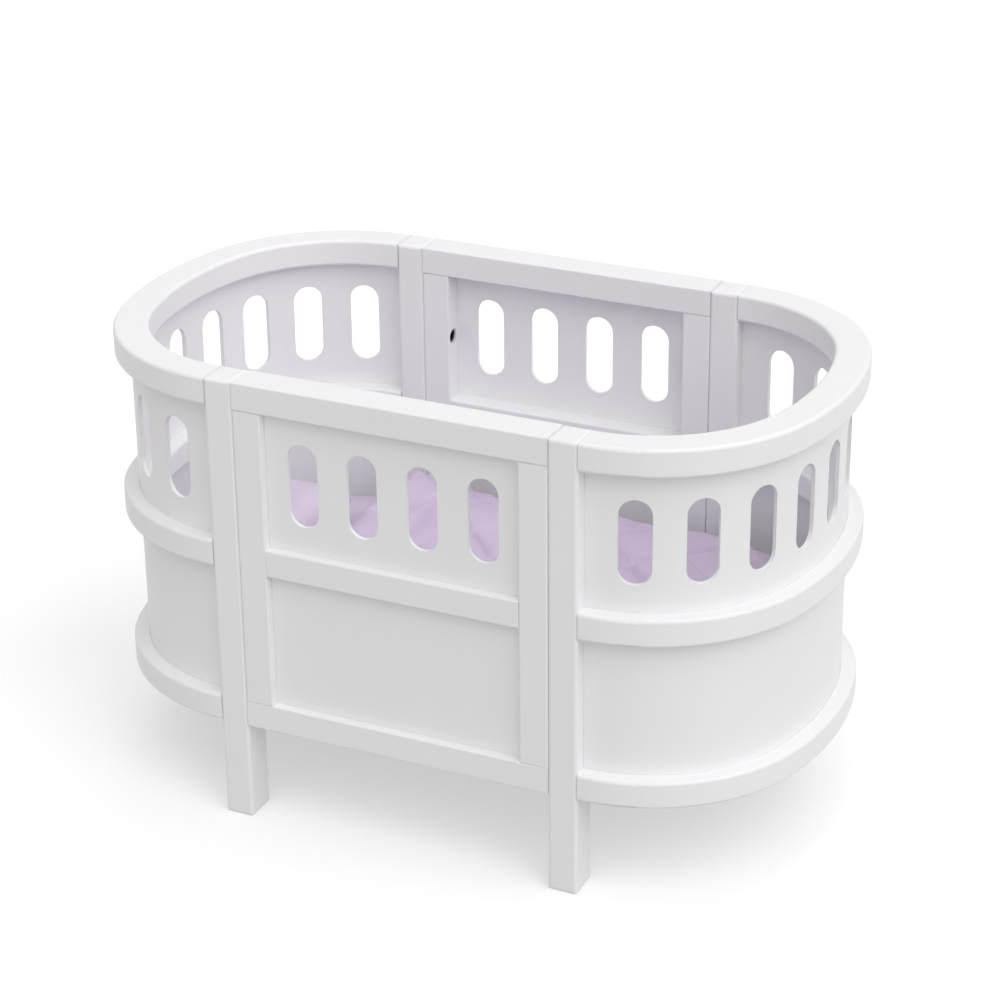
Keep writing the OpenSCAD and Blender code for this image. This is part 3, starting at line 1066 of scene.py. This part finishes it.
@dataclass(frozen=True)
class SoftBox:
    """A broad light that shines evenly everywhere.

    Its direction runs from the crib to the light, and its spread is how wide it looks from
    the crib, in degrees.
    """

    name: str
    towards: tuple[float, float, float]
    strength: float
    spread: float

    def build(self) -> None:
        """Adds the light."""
        light = bpy.data.lights.new(self.name, "SUN")
        light.energy = self.strength
        light.angle = math.radians(self.spread)
        lamp = bpy.data.objects.new(self.name, light)
        lamp.rotation_mode = "QUATERNION"
        lamp.rotation_quaternion = Vector(self.towards).to_track_quat("Z", "Y")
        bpy.context.scene.collection.objects.link(lamp)


SOFT_BOXES = (
    SoftBox("side_light", (1.0, -0.1, 0.9), 0.94, 60),
    SoftBox("front_right_light", (0.7, -0.7, 0.9), 0.39, 50),
    SoftBox("front_light", (0.1, -0.8, 1.0), 0.34, 60),
    SoftBox("high_front_light", (0.05, -0.45, 1.0), 0.14, 30),
    SoftBox("rear_light", (0.0, 0.6, 1.0), 0.35, 40),
    SoftBox("left_light", (-0.8, 0.1, 1.0), 0.14, 45),
)


@dataclass
class Studio:
    """A white paper floor and wall, an even surround and the soft boxes."""

    floor_half: float = 30.0
    wall_radius: float = 26.0
    wall_height: float = 30.0
    wall_low: float = -0.5
    wall_sides: int = 64
    surround: float = 0.50
    floor_colour: str = "#f6f6f6"
    floor_glow: float = 0.16

    def build(self) -> None:
        """Builds the floor, the wall, the surround and the lights."""
        scene = bpy.context.scene
        scene.view_settings.view_transform = "Standard"
        scene.view_settings.look = "None"
        world = bpy.data.worlds.new("surround")
        scene.world = world
        world.use_nodes = True
        back = world.node_tree.nodes["Background"]
        back.inputs["Color"].default_value = (1, 1, 1, 1)
        back.inputs["Strength"].default_value = self.surround
        for box in SOFT_BOXES:
            box.build()
        self.floor()
        self.wall()
        log.info("studio: %d lights", len(SOFT_BOXES))

    def paper(self, name: str, glow: float) -> bpy.types.Material:
        """Makes matt white paper that glows a little, as strongly lit paper seems to.

        Args:
            name: The material's name.
            glow: The strength of the glow.

        Returns:
            The material.
        """
        material = bpy.data.materials.new(name)
        material.use_nodes = True
        shader = material.node_tree.nodes["Principled BSDF"]
        shader.inputs["Base Color"].default_value = linear(self.floor_colour)
        shader.inputs["Roughness"].default_value = 1.0
        shader.inputs["Specular IOR Level"].default_value = 0.0
        shader.inputs["Emission Color"].default_value = (1, 1, 1, 1)
        shader.inputs["Emission Strength"].default_value = glow
        return material

    def floor(self) -> None:
        """Lays the floor, which takes shadows but throws no light back up at the crib."""
        h = self.floor_half
        corners = np.array([[-h, -h, 0], [h, -h, 0], [h, h, 0], [-h, h, 0]])
        floor = mesh_piece("studio_floor", corners, [[0, 1, 2, 3]])
        floor.data.materials.append(self.paper("studio_paper", self.floor_glow))
        floor.visible_diffuse = False

    def wall(self) -> None:
        """Stands a round white wall far off, which the camera sees and no light meets."""
        count = self.wall_sides
        turn = np.linspace(0, 2 * math.pi, count, endpoint=False)
        plan = self.wall_radius * np.column_stack([np.cos(turn), np.sin(turn)])
        low = np.column_stack([plan, np.full(count, self.wall_low)])
        high = np.column_stack([plan, np.full(count, self.wall_height)])
        index = np.arange(count)
        after = np.roll(index, -1)
        faces = np.column_stack([index, index + count, after + count, after]).tolist()
        wall = mesh_piece("studio_wall", np.vstack([low, high]), faces)
        wall.data.materials.append(self.paper("studio_white", 1.0))
        for sight in ("diffuse", "glossy", "transmission", "shadow"):
            setattr(wall, "visible_" + sight, False)


@dataclass
class StudioCamera:
    """The camera: where it stands, how it is turned and its lens."""

    place: tuple[float, float, float] = (0.7677, -1.6189, 1.0315)
    azimuth: float = 0.4385
    elevation: float = 0.4334
    roll: float = -0.0101
    lens_mm: float = 100.6
    sensor_mm: float = 36.0
    clip_far: float = 200.0

    def build(self) -> None:
        """Adds the camera and makes it the scene's."""
        ca, sa = math.cos(self.azimuth), math.sin(self.azimuth)
        ce, se = math.cos(self.elevation), math.sin(self.elevation)
        back = Vector((sa * ce, -ca * ce, se))
        level = Vector((0, 0, 1)).cross(back).normalized()
        upright = back.cross(level)
        cr, sr = math.cos(self.roll), math.sin(self.roll)
        right = cr * level + sr * upright
        up = -sr * level + cr * upright
        turned = Matrix((right, up, back)).transposed().to_4x4()
        data = bpy.data.cameras.new("camera")
        data.lens = self.lens_mm
        data.sensor_width = self.sensor_mm
        data.clip_end = self.clip_far
        camera = bpy.data.objects.new("camera", data)
        camera.matrix_world = Matrix.Translation(self.place) @ turned
        bpy.context.scene.collection.objects.link(camera)
        bpy.context.scene.camera = camera


def main() -> None:
    """Builds the camera, the frame's finishes, the bedding and the studio, in that order."""
    logging.basicConfig(level=logging.INFO, format="%(name)s: %(message)s")
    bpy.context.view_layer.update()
    StudioCamera().build()
    CribFrame().build()
    for piece in (
        Mattress("mattress", "mattress_cotton", LILAC_COVER),
        Pillow("pillow", "pillow_cotton", LILAC_COVER),
        Blanket("blanket", "blanket_cotton", LILAC_QUILT),
    ):
        piece.build()
    Studio().build()


if __name__ == "__main__":
    main()
